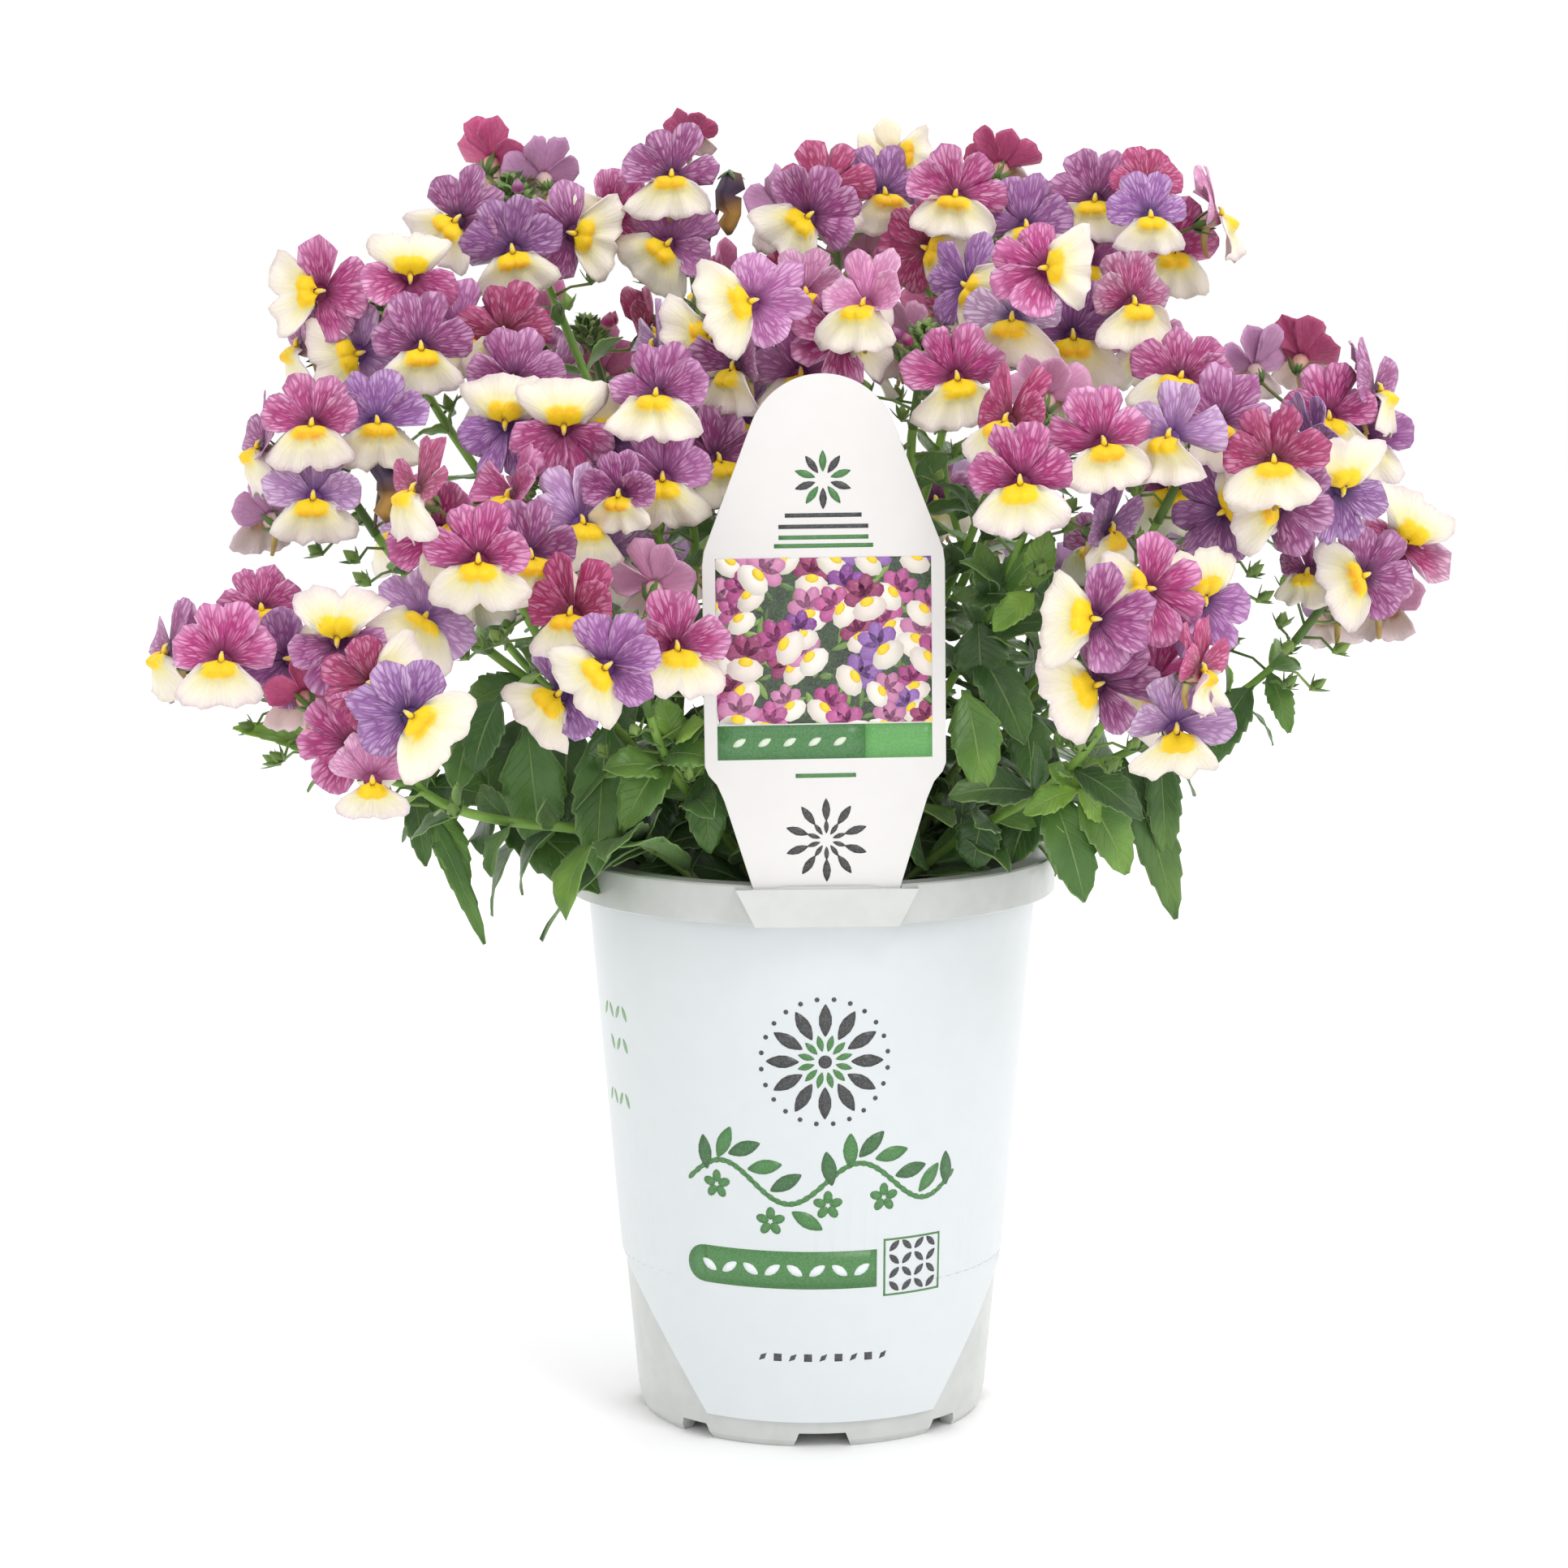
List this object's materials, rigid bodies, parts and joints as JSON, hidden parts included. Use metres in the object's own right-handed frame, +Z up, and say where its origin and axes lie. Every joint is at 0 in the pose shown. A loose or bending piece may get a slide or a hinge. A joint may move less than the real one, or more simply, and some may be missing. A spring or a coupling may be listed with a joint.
{
  "type": "potted nemesia",
  "caption": "Bushy flowering annual with loose heads of two-lipped blooms and toothed leaves, growing in a tapered nursery pot with a plant tag held in its rim.",
  "frame": {"origin": "on the pot's vertical axis, at the level of the surface that its feet stand on", "axes": "+Z up along the pot's axis; the tag and the pot's printed front face -Y; +X to the right of someone who looks at the tag"},
  "size_m": [0.2858, 0.2168, 0.2976],
  "materials": {
    "pot": "satin",
    "tag": "gloss",
    "soil": "matte",
    "leaf": "satin",
    "bloom": "matte"
  },
  "bodies": {
    "root": {"head_back_east": "bloom", "head_back_middle_east": "bloom", "head_back_middle_west": "bloom", "head_back_north": "bloom", "head_back_north_east": "bloom", "head_back_north_west": "bloom", "head_back_west": "bloom", "head_center": "bloom", "head_center_east": "bloom", "head_center_west": "bloom", "head_east": "bloom", "head_east_far": "bloom", "head_east_front": "bloom", "head_east_low_mid": "bloom", "head_east_mid": "bloom", "head_far_east": "bloom", "head_far_west": "bloom", "head_low_center_west": "bloom", "head_low_east": "bloom", "head_low_west": "bloom", "head_low_west_front": "bloom", "head_mid_west": "bloom", "head_north": "bloom", "head_north_east": "bloom", "head_north_east_mid": "bloom", "head_north_mid": "bloom", "head_north_west": "bloom", "head_west": "bloom", "head_west_behind": "bloom", "head_west_high": "bloom", "pot": "pot", "soil": "soil", "stem_back_east": "leaf", "stem_back_far": "leaf", "stem_back_middle": "leaf", "stem_back_west": "leaf", "stem_center": "leaf", "stem_east": "leaf", "stem_east_far": "leaf", "stem_east_low_mid": "leaf", "stem_east_mid": "leaf", "stem_far_east": "leaf", "stem_far_west": "leaf", "stem_low_center_west": "leaf", "stem_low_east": "leaf", "stem_low_west": "leaf", "stem_low_west_front": "leaf", "stem_mid_west": "leaf", "stem_north": "leaf", "stem_north_east": "leaf", "stem_north_east_mid": "leaf", "stem_north_mid": "leaf", "stem_north_west": "leaf", "stem_west": "leaf", "stem_west_high": "leaf", "tag": "tag"}
  },
  "joints": []
}
